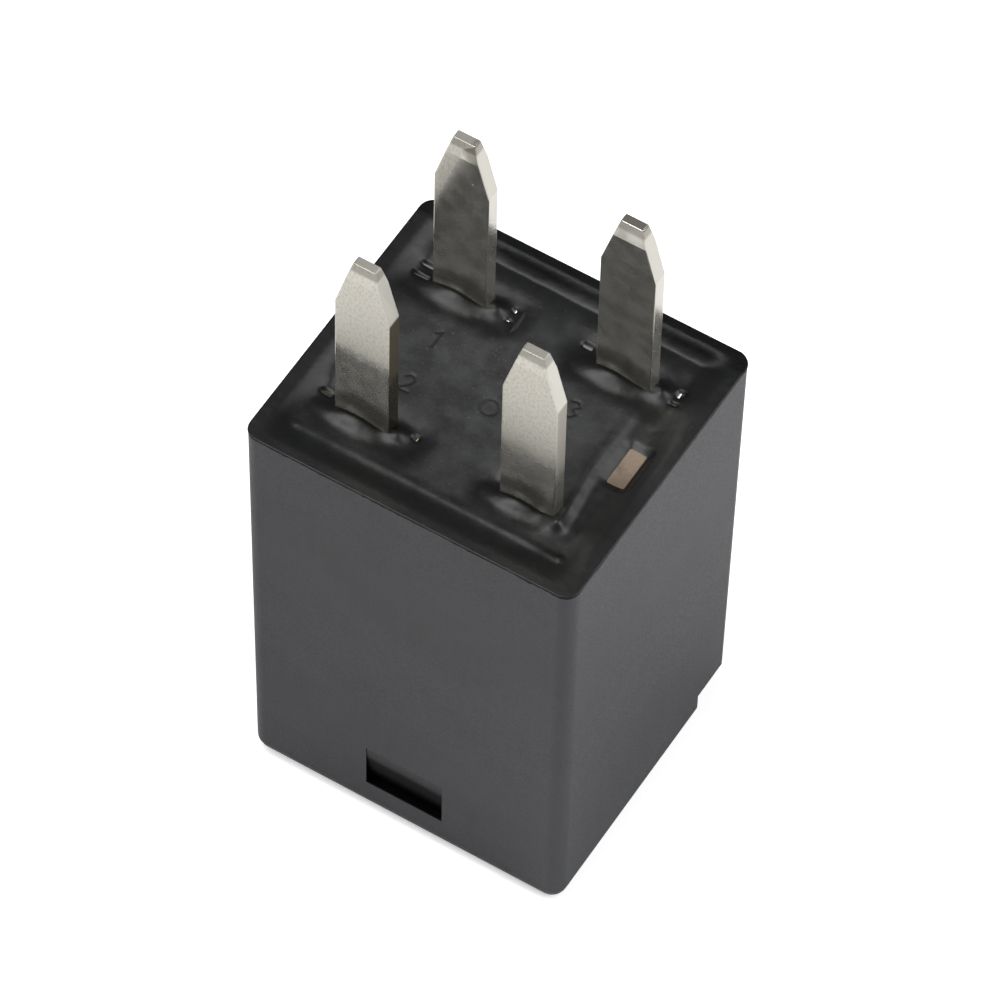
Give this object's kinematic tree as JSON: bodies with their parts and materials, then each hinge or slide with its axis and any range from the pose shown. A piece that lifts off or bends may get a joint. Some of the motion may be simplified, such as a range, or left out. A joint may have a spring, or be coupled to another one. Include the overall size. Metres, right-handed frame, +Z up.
{
  "type": "automotive relay",
  "caption": "Sealed plug-in automotive relay in a dark moulded box, with flat blade terminals standing out of the black potting that closes it.",
  "frame": {"origin": "centre of the outline at the level of the closed end, which is the lowest face", "axes": "+Z up along the blades, out of the potted end; -Y towards the side with the pull slot; +X towards the contact side"},
  "size_m": [0.0168, 0.0154, 0.0353],
  "materials": {
    "cover_plastic": "satin dark grey glass-filled plastic",
    "base_plastic": "black plastic",
    "potting": "black potting, glossy where it is deep",
    "plated_brass": "brass with dull tin plating",
    "copper_strip": "bare copper alloy strip",
    "bobbin_plastic": "natural nylon",
    "enamelled_copper": "enamelled copper wire",
    "magnet_steel": "zinc-plated soft steel",
    "spring_copper": "copper alloy spring strip",
    "contact_silver": "silver alloy",
    "rivet_steel": "plated steel",
    "resistor_body": "lacquered resistor body",
    "tinned_wire": "tinned wire",
    "solder": "solder"
  },
  "bodies": {
    "relay": {"cover": "cover_plastic", "base": "base_plastic", "sealant": "potting", "terminal_85": "plated_brass", "terminal_86": "plated_brass", "terminal_30": "plated_brass", "terminal_87": "plated_brass", "stop_strip": "copper_strip", "bobbin": "bobbin_plastic", "coil_winding": "enamelled_copper", "coil_lead_start": "enamelled_copper", "coil_lead_end": "enamelled_copper", "core": "magnet_steel", "yoke": "magnet_steel", "fixed_contact": "contact_silver", "yoke_rivets": "rivet_steel", "resistor": "resistor_body", "resistor_leads": "tinned_wire", "solder_joints": "solder"},
    "armature": {"armature": "magnet_steel", "contact_spring": "spring_copper", "moving_contact": "contact_silver", "armature_rivets": "rivet_steel"}
  },
  "joints": [
    {"name": "armature_pull_in", "type": "hinge", "parent": "relay", "child": "armature", "pos_m": [-0.0065, 0, 0.00605], "axis": [0, -1, 0], "range_deg": [0, 4], "stiffness_Nm_per_rad": 0.02, "springref_deg": -8.59, "deforming": ["contact_spring"]}
  ]
}
